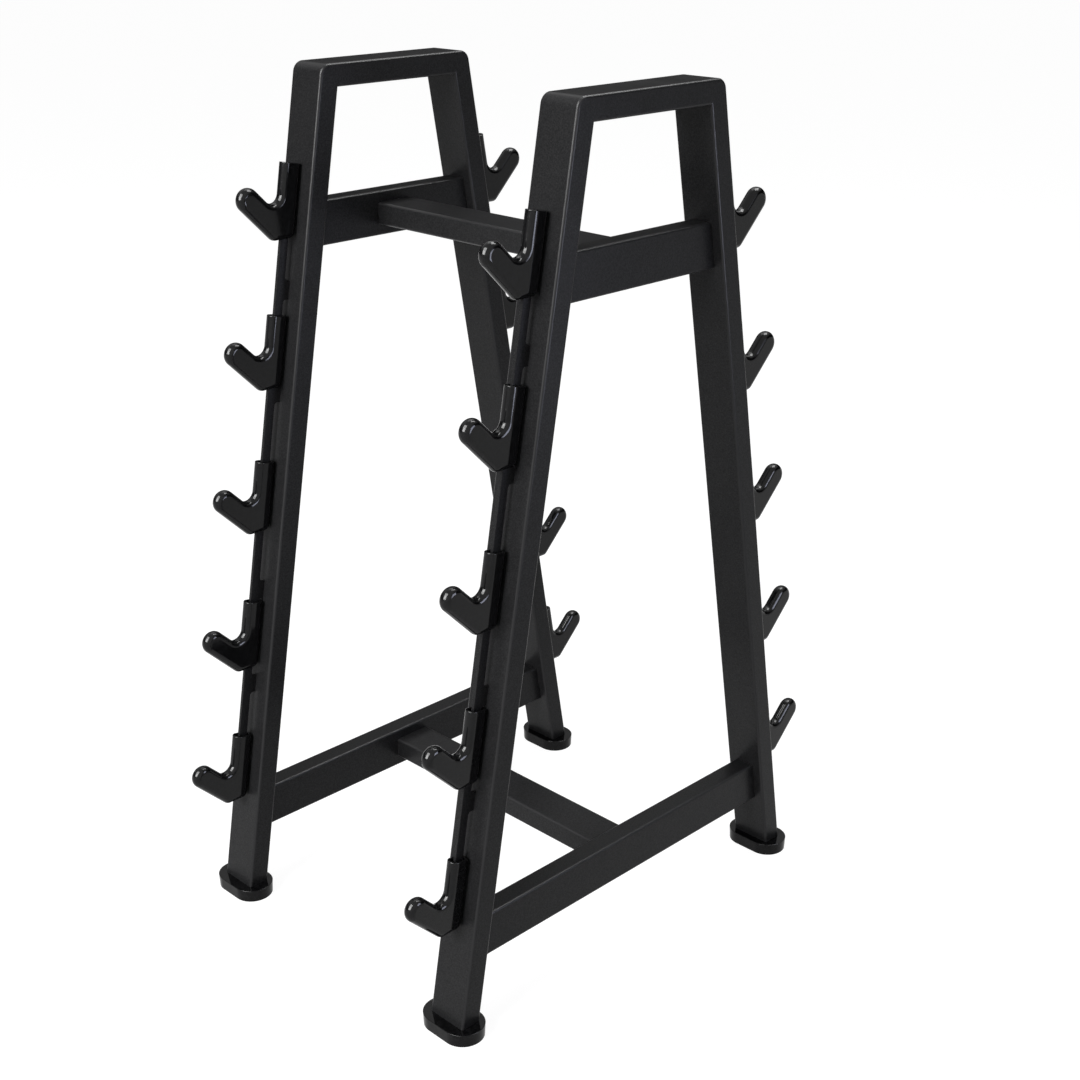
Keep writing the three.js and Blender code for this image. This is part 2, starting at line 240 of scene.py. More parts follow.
@dataclass(frozen=True)
class GlossMoulding:
    """Polyurethane or PVC moulded in a polished tool, which comes out glossy.

    The tool's polish gives mirror-like reflections that waver a little where the thick
    moulding has shrunk, and handling leaves faint matte patches on it.
    """

    name: str
    colour: str = "141415"
    patch_colour: str = "1b1b1c"
    tint_band: Point = (0.3, 0.8)  # patch values at which its colour starts and is full
    roughness: float = 0.05
    patch_matte: float = 0.06  # the roughness that a patch adds
    matte_band: Point = (0.45, 0.75)  # patch values at which that starts and is full
    specular: float = 0.15
    wave_mm: float = 26.0
    wave_relief_mm: float = 0.06
    wave_strength: float = 0.5
    patch_mm: float = 9.0

    def material(self) -> bpy.types.Material:
        """Builds the glossy moulding.

        Returns:
            The material for one kind of moulded piece.
        """
        material, tree = new_material(self.name)
        place = add_node(tree, "ShaderNodeTexCoord").outputs["Object"]
        wave = add_node(
            tree,
            "ShaderNodeTexNoise",
            {"Scale": 1 / (self.wave_mm * MM), "Detail": 0.0, "Roughness": 0.4},
            {"Vector": place},
        )
        patch = add_node(
            tree,
            "ShaderNodeTexNoise",
            {"Scale": 1 / (self.patch_mm * MM), "Detail": 4.0, "Roughness": 0.6},
            {"Vector": place},
        )
        low, high = self.matte_band
        matte = self.roughness + self.patch_matte
        rub = add_node(
            tree,
            "ShaderNodeMapRange",
            {"From Min": low, "From Max": high, "To Min": self.roughness, "To Max": matte},
            {"Value": patch.outputs["Fac"]},
        )
        tint = add_node(tree, "ShaderNodeValToRGB", {}, {"Fac": patch.outputs["Fac"]})
        for i, colour in enumerate((self.colour, self.patch_colour)):
            tint.color_ramp.elements[i].position = self.tint_band[i]
            tint.color_ramp.elements[i].color = linear(colour)
        bump = add_node(
            tree,
            "ShaderNodeBump",
            {"Strength": self.wave_strength, "Distance": self.wave_relief_mm * MM},
            {"Height": wave.outputs["Fac"]},
        )
        shader = add_node(
            tree,
            "ShaderNodeBsdfPrincipled",
            {"IOR": POLYMER_IOR, "Specular IOR Level": self.specular, "Metallic": 0.0},
            {
                "Base Color": tint.outputs["Color"],
                "Roughness": rub.outputs["Result"],
                "Normal": bump.outputs["Normal"],
            },
        )
        add_node(tree, "ShaderNodeOutputMaterial", {}, {"Surface": shader.outputs["BSDF"]})
        return material


def make_finishes() -> Finishes:
    """Makes every finish of the rack once, for its pieces to share.

    Returns:
        The finish of each slot.
    """
    # The PVC is a deeper black than the polyurethane, and its flat, solid shape wavers less.
    pvc = GlossMoulding(
        "pvc_moulded_black", colour="040405", roughness=0.06, specular=0.12, wave_relief_mm=0.02
    )
    return {
        Slot.FRAME: PowderCoat().material(),
        Slot.COVER: GlossMoulding("polyurethane_moulded_glossy_black").material(),
        Slot.FOOT: pvc.material(),
    }


# ---- Outlines, meshes and objects


@dataclass
class Outline:
    """The points of an outline, and the unit normal at each."""

    points: list[Point] = field(default_factory=list)
    normals: list[Point] = field(default_factory=list)

    def __add__(self, other: "Outline") -> "Outline":
        """Joins another outline to the end of this one."""
        return Outline(self.points + other.points, self.normals + other.normals)


def arc(centre: Point, radius: float, start: float, stop: float, steps: int, sign: int = 1) -> Outline:
    """An arc, both ends included.

    Args:
        centre: The arc's centre.
        radius: Its radius.
        start: The angle it starts at, in radians.
        stop: The angle it stops at, in radians.
        steps: How many straight steps it is drawn with.
        sign: 1 where the material is inside the arc, -1 where it is outside.

    Returns:
        The arc's points and their normals.
    """
    angles = [start + (stop - start) * i / steps for i in range(steps + 1)]
    ways = [(math.cos(a), math.sin(a)) for a in angles]
    points = [(centre[0] + radius * x, centre[1] + radius * y) for x, y in ways]
    return Outline(points, [(sign * x, sign * y) for x, y in ways])


@dataclass
class Skin:
    """A mesh under construction: corners with their normals, and faces."""

    points: list[Vector] = field(default_factory=list)
    normals: list[Vector] = field(default_factory=list)
    faces: list[tuple[int, ...]] = field(default_factory=list)
    rolled: list[float] = field(default_factory=list)

    def ring(
        self, points: Sequence[Vector], normals: Sequence[Vector], rolled: Sequence[float] = ()
    ) -> list[int]:
        """Adds a row of corners.

        Args:
            points: Where the corners are, in millimetres.
            normals: The surface's direction at each corner.
            rolled: How far each corner is into a rolled edge, from 0 to 1, if there is one.

        Returns:
            The corners' numbers.
        """
        first = len(self.points)
        self.points.extend(points)
        self.normals.extend(normals)
        self.rolled.extend(rolled or [0.0] * len(points))
        return list(range(first, first + len(points)))

    def level(self, outline: Outline, place: float, out: float, along: float) -> list[int]:
        """Adds an outline as a row of corners square to the third axis.

        Args:
            outline: The outline.
            place: Where it is on the third axis.
            out: How much the surface there faces the way the outline's normals do.
            along: How much it faces along the third axis.

        Returns:
            The corners' numbers.
        """
        return self.ring(
            [Vector((x, y, place)) for x, y in outline.points],
            [Vector((x * out, y * out, along)) for x, y in outline.normals],
        )

    def loft(self, rows: Sequence[Sequence[int]], closed: bool) -> None:
        """Joins each row of corners to the next with a strip of quads.

        Args:
            rows: The rows, with as many corners each.
            closed: Whether the rows run all the way round.
        """
        for a, b in zip(rows, rows[1:]):
            for i in range(len(a) if closed else len(a) - 1):
                j = (i + 1) % len(a)
                self.faces.append((a[i], a[j], b[j], b[i]))

    def cap(self, row: Sequence[int]) -> None:
        """Closes a row of corners with one flat face."""
        self.faces.append(tuple(row))

    def mesh(self, name: str, move: Move) -> bpy.types.Mesh:
        """Makes the Blender mesh.

        Args:
            name: The mesh's name.
            move: Turns a point from the piece's own axes to the rack's, in millimetres.

        Returns:
            The mesh, with smooth shading from the given normals.
        """
        origin = move(Vector((0, 0, 0)))
        mesh = bpy.data.meshes.new(name)
        mesh.from_pydata([move(p) * MM for p in self.points], [], self.outward_faces())
        mesh.shade_smooth()
        directions = [(move(n) - origin).normalized() for n in self.normals]
        mesh.normals_split_custom_set_from_vertices(directions)
        mesh.attributes.new(ROLLED, "FLOAT", "POINT").data.foreach_set("value", self.rolled)
        return mesh

    def outward_faces(self) -> list[tuple[int, ...]]:
        """Turns every face to the side that its corners' normals point to.

        Returns:
            The faces, without those that have no area.
        """
        turned = []
        for face in self.faces:
            first = self.points[face[0]]
            facing = Vector((0, 0, 0))
            for a, b in zip(face[1:], face[2:]):
                facing += (self.points[a] - first).cross(self.points[b] - first)
            if facing.length < NO_AREA:
                continue
            meant = sum((self.normals[i] for i in face), Vector((0, 0, 0)))
            turned.append(face if facing.dot(meant) > 0 else tuple(reversed(face)))
        return turned


def add_object(name: str, data: bpy.types.ID) -> bpy.types.Object:
    """Adds an object to the scene.

    Args:
        name: The object's name.
        data: Its mesh, lamp or camera.

    Returns:
        The object.
    """
    item = bpy.data.objects.new(name, data)
    bpy.context.scene.collection.objects.link(item)
    return item


def node_name(kind: str, *places: Enum) -> str:
    """Names a CAD node by its kind and its places, such as leg_left_front."""
    return "_".join([kind, *(place.name.lower() for place in places)])


def stand_in(mesh: bpy.types.Mesh, node: str, slot: Slot, finishes: Finishes) -> None:
    """Adds a piece that stands for its CAD node.

    Args:
        mesh: The piece's mesh, whose name the piece takes.
        node: The CAD node it replaces.
        slot: The record's material slot it belongs to.
        finishes: The finish of each slot.
    """
    mesh.materials.append(finishes[slot])
    piece = add_object(mesh.name, mesh)
    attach(piece, "root")
    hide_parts(node)
    LOG.info("%s stands for %s", piece.name, node)


# ---- Where things are


@dataclass(frozen=True)
class Layout:
    """The rack's main sizes, and the way from a piece's own axes to the rack's."""

    height: float = 1530.0
    spread: float = 680.0  # over the outer faces of the two side frames
    top_depth: float = 335.0  # over the front and the rear leg at the very top
    lean: float = math.radians(10)
    tube_wide: float = 80.0
    tube_thin: float = 40.0
    tube_edge: float = 4.5
    corner: float = 20.0  # outer radius where a leg meets its top tube
    hooks: int = 5
    hook_pitch: float = 263.9
    first_hook: float = 168.0

    @property
    def side_x(self) -> float:
        """Distance of a side frame's middle plane from the rack's middle."""
        return self.spread / 2 - self.tube_wide / 2

    def hook(self, number: int) -> float:
        """Distance down the leg to the top of a hook's cover, by its number from 0."""
        return self.first_hook + number * self.hook_pitch

    def in_frame(self, side: Side, end: End) -> Move:
        """The move from a front half of a side frame to its place in the rack.

        Args:
            side: Which side frame.
            end: Which half of it.

        Returns:
            A function that moves a point.
        """
        turn = Matrix.Rotation(math.pi if end is End.REAR else 0.0, 4, "Z")
        shift = Matrix.Translation((side.value * self.side_x, 0, 0))
        matrix = shift @ turn
        return lambda p: matrix @ p

    def on_leg(self, side: Side, end: End) -> Move:
        """The move from a leg's axes, (x, out, down), to the rack's.

        Args:
            side: Which side frame.
            end: Which of its legs.

        Returns:
            A function that moves a point.
        """
        outer = self.in_frame(side, end)
        s, c = math.sin(self.lean), math.cos(self.lean)

        def move(p: Vector) -> Vector:
            """Moves one point from (x, out, down)."""
            y = -self.top_depth / 2 - p.z * s - p.y * c
            z = self.height - p.z * c + p.y * s
            return outer(Vector((p.x, y, z)))

        return move


LAYOUT = Layout()


# ---- The welded frame


@dataclass
class TubeFrame:
    """Two side frames and two beams of 80 x 40 mm rectangular tube."""

    layout: Layout
    finishes: Finishes
    upper_cross_top: float = 1299.0
    lower_cross_top: float = 206.0
    leg_end: float = 8.8  # height of a leg's cut end, inside its foot
    edge_steps: int = 6
    bend_steps: int = 10
    rolled_gain: float = 2.2  # brings the middle of an edge's rounding up to 1

    def section(self, width: float, height: float) -> Outline:
        """The tube's rounded outline, with extra corners at the middle of its narrow sides.

        Args:
            width: Size along the first axis.
            height: Size along the second axis.

        Returns:
            The outline, in order round its middle.
        """
        r = self.layout.tube_edge
        x, y = width / 2 - r, height / 2 - r
        tube = Outline([(-width / 2, 0.0), (width / 2, 0.0)], [(-1.0, 0.0), (1.0, 0.0)])
        for i, centre in enumerate([(x, y), (-x, y), (-x, -y), (x, -y)]):
            tube += arc(centre, r, i * QUARTER, (i + 1) * QUARTER, self.edge_steps)
        pairs = zip(tube.points, tube.normals)
        order = sorted(pairs, key=lambda pair: math.atan2(pair[0][1], pair[0][0]))
        return Outline([p for p, _ in order], [n for _, n in order])

    def rolled(self, outline: Outline) -> list[float]:
        """Tells the rolled edges, whose direction is between two faces, from the faces."""
        return [min(1.0, self.rolled_gain * abs(x * y)) for x, y in outline.normals]

    def mitred(
        self, skin: Skin, far: float, at: Callable[[float, float, float], Vector], tilt: float
    ) -> None:
        """Builds a tube from a cut end up to the rounded mitre that it shares with its neighbour.

        Args:
            skin: The mesh that takes it.
            far: Distance of the cut end from the frame's outer corner, along the tube.
            at: Gives a point from (x, depth from the outer face, distance from the corner).
            tilt: Half the angle that the frame turns through at the corner.
        """
        outline = self.section(self.layout.tube_wide, self.layout.tube_thin)
        places = [(x, self.layout.tube_thin / 2 - y) for x, y in outline.points]
        rolled = self.rolled(outline)
        radius = self.layout.corner
        slope = math.tan(tilt)
        tangent = radius * slope
        origin = at(0, 0, 0)

        def direction(nx: float, out: float, along: float) -> Vector:
            """Turns a direction from the tube's axes."""
            return at(nx, -out, along) - origin

        plain = [direction(nx, out, 0) for nx, out in outline.normals]
        cut = [at(x, depth, far) for x, depth in places]
        bend = [at(x, depth, max(tangent, depth * slope)) for x, depth in places]
        rows = [skin.ring(cut, plain, rolled), skin.ring(bend, plain, rolled)]
        for step in range(1, self.bend_steps + 1):
            turn = tilt * step / self.bend_steps
            s, c = math.sin(turn), math.cos(turn)
            points, directions = [], []
            for (x, depth), (nx, out) in zip(places, outline.normals):
                reach = radius - depth
                if reach <= TINY:
                    points.append(at(x, depth, depth * slope))
                    directions.append(direction(nx, out, 0))
                else:
                    points.append(at(x, radius - reach * c, tangent - reach * s))
                    directions.append(direction(nx, out * c, -out * s))
            rows.append(skin.ring(points, directions, rolled))
        skin.loft(rows, True)

    def tube(self, skin: Skin, node: str, move: Move) -> None:
        """Finishes a tube and lets it stand for its CAD node."""
        stand_in(skin.mesh(f"{node}_tube", move), node, Slot.FRAME, self.finishes)

    def leg(self, side: Side, end: End) -> None:
        """Builds one leg.

        Args:
            side: The side frame it belongs to.
            end: The end of that frame it is at.
        """
        layout = self.layout
        far = (layout.height - self.leg_end) / math.cos(layout.lean)
        skin = Skin()
        self.mitred(skin, far, lambda x, d, s: Vector((x, -d, s)), math.pi / 4 - layout.lean / 2)
        self.tube(skin, node_name("leg", side, end), layout.on_leg(side, end))

    def top(self, side: Side) -> None:
        """Builds a top tube from two halves that meet in the middle.

        Args:
            side: The side frame it belongs to.
        """
        layout = self.layout
        skin = Skin()
        tilt = math.pi / 4 - layout.lean / 2
        half = layout.top_depth / 2
        for sign in (-1, 1):

            def at(x: float, d: float, s: float, sign: int = sign) -> Vector:
                """Gives a point of the half on this side."""
                return Vector((x * -sign, sign * (half - s), layout.height - d))

            self.mitred(skin, half, at, tilt)
        self.tube(skin, node_name("top_tube", side), layout.in_frame(side, End.FRONT))

    def straight(
        self, node: str, size: Point, at: Callable[[float, float, bool], Vector], side: Side | None
    ) -> None:
        """Builds a straight tube between two seats.

        Args:
            node: The CAD node it stands for.
            size: The section's width and height.
            at: Gives a point from the section's two axes and which end it is at.
            side: The side frame it belongs to, or None for a beam.
        """
        outline = self.section(*size)
        rolled = self.rolled(outline)
        around = [Vector((x, 0, y)) if side else Vector((0, x, y)) for x, y in outline.normals]
        skin = Skin()
        rows = []
        for far in (False, True):
            rows.append(skin.ring([at(x, y, far) for x, y in outline.points], around, rolled))
        skin.loft(rows, True)
        for row, far in zip(rows, (False, True)):
            facing = (at(0, 0, far) - at(0, 0, not far)).normalized()
            skin.cap(skin.ring([skin.points[i] for i in row], [facing] * len(row)))
        self.tube(skin, node, self.layout.in_frame(side, End.FRONT) if side else lambda p: p)

    def cross(self, side: Side, level: str, top: float) -> None:
        """Builds a cross tube, cut to the lean of the legs it runs between.

        Args:
            side: The side frame it belongs to.
            level: Whether it is the upper or the lower one.
            top: The height of its top face.
        """
        layout = self.layout
        middle = top - layout.tube_wide / 2
        slope = math.tan(layout.lean)
        inner = layout.tube_thin / math.cos(layout.lean)

        def at(x: float, z: float, far: bool) -> Vector:
            """Gives a point on the inner face of the front or the rear leg."""
            reach = layout.top_depth / 2 + (layout.height - middle - z) * slope - inner
            return Vector((x, reach if far else -reach, middle + z))

        node = node_name(f"cross_tube_{level}", side)
        self.straight(node, (layout.tube_thin, layout.tube_wide), at, side)

    def beam(self, level: str, cross_top: float) -> None:
        """Builds a beam between the cross tubes of the two side frames.

        Args:
            level: Whether it is the upper or the lower one.
            cross_top: The height of the cross tubes' top faces.
        """
        layout = self.layout
        reach = layout.side_x - layout.tube_thin / 2
        middle = cross_top - layout.tube_wide / 2

        def at(y: float, z: float, far: bool) -> Vector:
            """Gives a point at the left or the right end."""
            return Vector((reach if far else -reach, y, middle + z))

        self.straight(f"beam_{level}", (layout.tube_wide, layout.tube_thin), at, None)

    def build(self) -> None:
        """Builds every tube."""
        for side in Side:
            for end in End:
                self.leg(side, end)
            self.top(side)
            self.cross(side, "upper", self.upper_cross_top)
            self.cross(side, "lower", self.lower_cross_top)
        self.beam("upper", self.upper_cross_top)
        self.beam("lower", self.lower_cross_top)


# ---- Hooks


@dataclass(frozen=True)
class HookShape:
    """The upturned hook in its leg's axes: out from the leg, and down from the cover's top."""

    plate: float = 6.0
    rail_back: float = 10.5
    rail_front: float = 27.5
    skin: float = 11.0  # how far the cover stands out round the plate
    back: float = 1.0  # the cover's back face
    seat_radius: float = 16.5
    seat_drop: float = 55.0
    arm_reach: float = 123.0
    arm_tip: float = 21.5
    arm_pitch: float = math.radians(45) - LAYOUT.lean  # how far the arm rises from square out
    heel_drop: float = 81.0  # the level underside, below the seat's centre
    heel_round: float = 14.0
    back_round: float = 11.5
    seat_steps: int = 20
    tip_steps: int = 28
    heel_steps: int = 8

    @property
    def front(self) -> float:
        """Front face of the cover."""
        return self.rail_front + self.skin

    @property
    def seat(self) -> Point:
        """Centre of the bar seat."""
        return (self.front + self.seat_radius, self.seat_drop)

    @property
    def tip(self) -> Point:
        """Centre of the arm's round tip."""
        s, c = math.sin(self.arm_pitch), math.cos(self.arm_pitch)
        reach = self.seat_radius + self.arm_tip
        start = (self.seat[0] + s * reach, self.seat[1] + c * reach)
        run = (self.arm_reach - self.arm_tip - start[0]) / c
        return (start[0] + c * run, start[1] - s * run)

    @property
    def plumb(self) -> Point:
        """The rack's straight down, in the leg's axes."""
        return (-math.sin(LAYOUT.lean), math.cos(LAYOUT.lean))

    @property
    def heel(self) -> Point:
        """Centre of the rounding between the arm's underside and the level underside."""
        a, b = (math.sin(self.arm_pitch), math.cos(self.arm_pitch)), self.plumb
        arm = self.tip[0] * a[0] + self.tip[1] * a[1] + self.arm_tip - self.heel_round
        floor = self.seat[0] * b[0] + self.seat[1] * b[1] + self.heel_drop - self.heel_round
        det = a[0] * b[1] - a[1] * b[0]
        return ((arm * b[1] - floor * a[1]) / det, (a[0] * floor - b[0] * arm) / det)

    def level(self, out: float, inset: float) -> float:
        """How far down the level underside is at a distance from the leg.

        Args:
            out: Distance from the leg.
            inset: How far the outline is drawn in.

        Returns:
            The distance down from the cover's top.
        """
        b = self.plumb
        reach = self.heel[0] * b[0] + self.heel[1] * b[1] + self.heel_round - inset
        return (reach - out * b[0]) / b[1]

    def working_edge(self, inset: float) -> Outline:
        """The edge from the bar seat round the tip to the heel.

        Args:
            inset: How far the outline is drawn in.

        Returns:
            That stretch of the outline.
        """
        top = -QUARTER - self.arm_pitch
        low = QUARTER - self.arm_pitch
        end = QUARTER + LAYOUT.lean
        return (
            arc(self.seat, self.seat_radius + inset, math.pi, low, self.seat_steps, -1)
            + arc(self.tip, self.arm_tip - inset, top, low, self.tip_steps)
            + arc(self.heel, self.heel_round - inset, low, end, self.heel_steps)
        )

    def cover_edge(self, top: float, inset: float) -> Outline:
        """The cover's whole edge from its top in front to its top behind.

        Args:
            top: Where the edge starts and ends, down from the cover's top.
            inset: How far the outline is drawn in.

        Returns:
            The outline.
        """
        x = self.back + self.back_round
        centre = (x, self.level(x, self.back_round))
        return (
            Outline([(self.front - inset, top)], [(1.0, 0.0)])
            + self.working_edge(inset)
            + arc(centre, self.back_round - inset, QUARTER + LAYOUT.lean, math.pi, self.heel_steps)
            + Outline([(self.back + inset, top)], [(-1.0, 0.0)])
        )


HOOK = HookShape()


@dataclass
class HookCovers:
    """Twenty thick moulded covers, one over every hook."""

    layout: Layout
    finishes: Finishes
    shape: HookShape
    thickness: float = 23.0
    edge: float = 11.0
    rim: float = 1.4
    mouth_depth: float = 11.5
    mouth_wall: float = 5.0  # from the mouth to the side faces
    mouth_rim: float = 5.5  # from the mouth to the front and the back
    mouth_edge: float = 0.8
    edge_steps: int = 9
    rim_steps: int = 4

    def levels(self) -> list[tuple[float, float, float]]:
        """The rounded edge from one side face to the other.

        Returns:
            Sideways place, inset and angle of each level.
        """
        half, r, n = self.thickness / 2, self.edge, self.edge_steps
        angles = [QUARTER * i / n for i in range(n + 1)]
        first = [(r - half - r * math.cos(a), r * (1 - math.sin(a)), math.pi - a) for a in angles]
        second = [(half - r + r * math.cos(a), r * (1 - math.sin(a)), a) for a in reversed(angles)]
        return first + second

    def body(self, skin: Skin) -> list[int]:
        """Builds the cover up to its top rim.

        Args:
            skin: The mesh that takes it.

        Returns:
            The corners round the open top.
        """
        rows = []
        for place, inset, angle in self.levels():
            edge = self.shape.cover_edge(self.rim, inset)
            side, out = math.cos(angle), math.sin(angle)
            rows.append(
                skin.ring(
                    [Vector((place, x, y)) for x, y in edge.points],
                    [Vector((side, x * out, y * out)) for x, y in edge.normals],
                )
            )
        skin.loft(rows, False)
        skin.cap(rows[0])
        skin.cap(rows[-1])
        return [row[0] for row in rows] + [row[-1] for row in reversed(rows)]

    def top_ring(self, box: tuple[float, float, float], radius: float, grow: float) -> Outline:
        """A rounded rectangle that runs as the corners round the cover's open top do.

        Args:
            box: Half its width, and its back and front, out from the leg.
            radius: Its corner radius.
            grow: How far it is drawn outwards from that.

        Returns:
            The outline, in (x, out).
        """
        half, back, front = box[0] - radius, box[1] + radius, box[2] - radius
        ring = Outline()
        for i, centre in enumerate([(-half, front), (half, front), (half, back), (-half, back)]):
            ring += arc(centre, radius + grow, (2 - i) * QUARTER, (1 - i) * QUARTER, self.edge_steps)
        return ring

    def top(self, skin: Skin, edge: list[int], open_top: bool) -> None:
        """Closes the top with a softened rim, and a pocket where the rail comes through.

        Args:
            skin: The mesh that takes it.
            edge: The corners round the open top.
            open_top: Whether the rail comes through.
        """
        shape, half = self.shape, self.thickness / 2
        rows = [edge]
        for i in range(1, self.rim_steps + 1):
            a = QUARTER * i / self.rim_steps
            draw = self.rim * (1 - math.cos(a))
            ring = self.top_ring((half, shape.back, shape.front), self.edge, -draw)
            rows.append(skin.level(ring, self.rim * (1 - math.sin(a)), math.cos(a), -math.sin(a)))
        if not open_top:
            skin.loft(rows, True)
            skin.cap(rows[-1])
            return
        inner = half - self.mouth_wall
        mouth = (inner, shape.back + self.mouth_rim, shape.front - self.mouth_rim)
        for i in range(self.rim_steps + 1):
            a = QUARTER * i / self.rim_steps
            lip = self.top_ring(mouth, inner / 2, self.mouth_edge * (1 - math.sin(a)))
            depth = self.mouth_edge * (1 - math.cos(a))
            rows.append(skin.level(lip, depth, -math.sin(a), -math.cos(a)))
        pocket = self.top_ring(mouth, inner / 2, 0)
        rows.append(skin.level(pocket, self.mouth_depth, -1, 0))
        skin.loft(rows, True)
        skin.cap(skin.level(pocket, self.mouth_depth, 0, -1))

    def cover(self, side: Side, end: End, number: int) -> None:
        """Builds one cover.

        Args:
            side: The side frame it is on.
            end: The leg it is on.
            number: Its place from the top, from 0.
        """
        skin = Skin()
        edge = self.body(skin)
        self.top(skin, edge, number > 0)
        drop = Vector((0, 0, self.layout.hook(number)))
        leg = self.layout.on_leg(side, end)
        node = f"{node_name('hook_cover', side, end)}_{number + 1}"
        mesh = skin.mesh(f"{node}_moulding", lambda p: leg(p + drop))
        stand_in(mesh, node, Slot.COVER, self.finishes)

    def build(self) -> None:
        """Builds all covers."""
        for side, end in LEGS:
            for number in range(self.layout.hooks):
                self.cover(side, end, number)


@dataclass
class HookRails:
    """Four laser-cut plates, each with a spine, five hooks and seven tabs to its leg."""

    layout: Layout
    finishes: Finishes
    shape: HookShape
    tab: float = 33.5
    fillet: float = 6.5
    tabs: int = 7
    first_tab: float = 35.0  # middle of the highest tab, below the first cover's top
    last_tab: float = 84.0  # middle of the lowest tab, below the last cover's top
    burr: float = 0.5
    fillet_steps: int = 6
    sharp: float = math.radians(25)

    def outline(self, grow: float) -> list[Point]:
        """The plate's outline.

        Args:
            grow: How far it is drawn outwards.

        Returns:
            Its points, as (out, down along the leg).
        """
        shape, layout = self.shape, self.layout
        inset = shape.skin - grow
        front, back = shape.rail_front + grow, shape.rail_back - grow
        points: list[Point] = [(front, layout.first_hook + inset)]
        edge = shape.working_edge(inset).points
        for number in range(layout.hooks):
            end = back if number == layout.hooks - 1 else front
            drop = layout.hook(number)
            points += [(x, y + drop) for x, y in edge + [(end, shape.level(end, inset))]]
        points += self.back_edge(grow)
        points.append((back, layout.first_hook + inset))
        return points

    def back_edge(self, grow: float) -> list[Point]:
        """The plate's back edge from the lowest tab to the highest.

        Args:
            grow: How far it is drawn outwards.

        Returns:
            Its points.
        """
        layout = self.layout
        first = layout.first_hook + self.first_tab
        last = layout.hook(layout.hooks - 1) + self.last_tab
        radius = self.fillet - grow
        x = self.shape.rail_back - grow - radius
        half = self.tab / 2 + grow
        points: list[Point] = []
        for i in reversed(range(self.tabs)):
            middle = first + (last - first) * i / (self.tabs - 1)
            points += arc((x, middle + half + radius), radius, 0, -QUARTER, self.fillet_steps).points
            points += [(0.0, middle + half), (0.0, middle - half)]
            points += arc((x, middle - half - radius), radius, QUARTER, 0, self.fillet_steps).points
        return points

    def rail(self, side: Side, end: End) -> None:
        """Builds one rail.

        Args:
            side: The side frame it is on.
            end: The leg it is on.
        """
        half, burr = self.shape.plate / 2, self.burr
        sideways = Vector((1, 0, 0))
        skin = Skin()
        rows = []
        for x, grow in ((-half, -burr), (burr - half, 0.0), (half - burr, 0.0), (half, -burr)):
            points = [Vector((x, out, down)) for out, down in self.outline(grow)]
            rows.append(skin.ring(points, [sideways] * len(points)))
        skin.loft(rows, True)
        skin.cap(rows[0])
        skin.cap(rows[-1][::-1])
        node = node_name("hook_rail", side, end)
        move = self.layout.on_leg(side, end)
        # A flat plate shades by the angle between its faces, so the normals above go unused.
        mesh = bpy.data.meshes.new(f"{node}_plate")
        mesh.from_pydata([move(p) * MM for p in skin.points], [], skin.faces)
        mesh.validate()
        mesh.shade_smooth()
        mesh.set_sharp_from_angle(angle=self.sharp)
        stand_in(mesh, node, Slot.FRAME, self.finishes)

    def build(self) -> None:
        """Builds all rails."""
        for side, end in LEGS:
            self.rail(side, end)


# ---- Feet


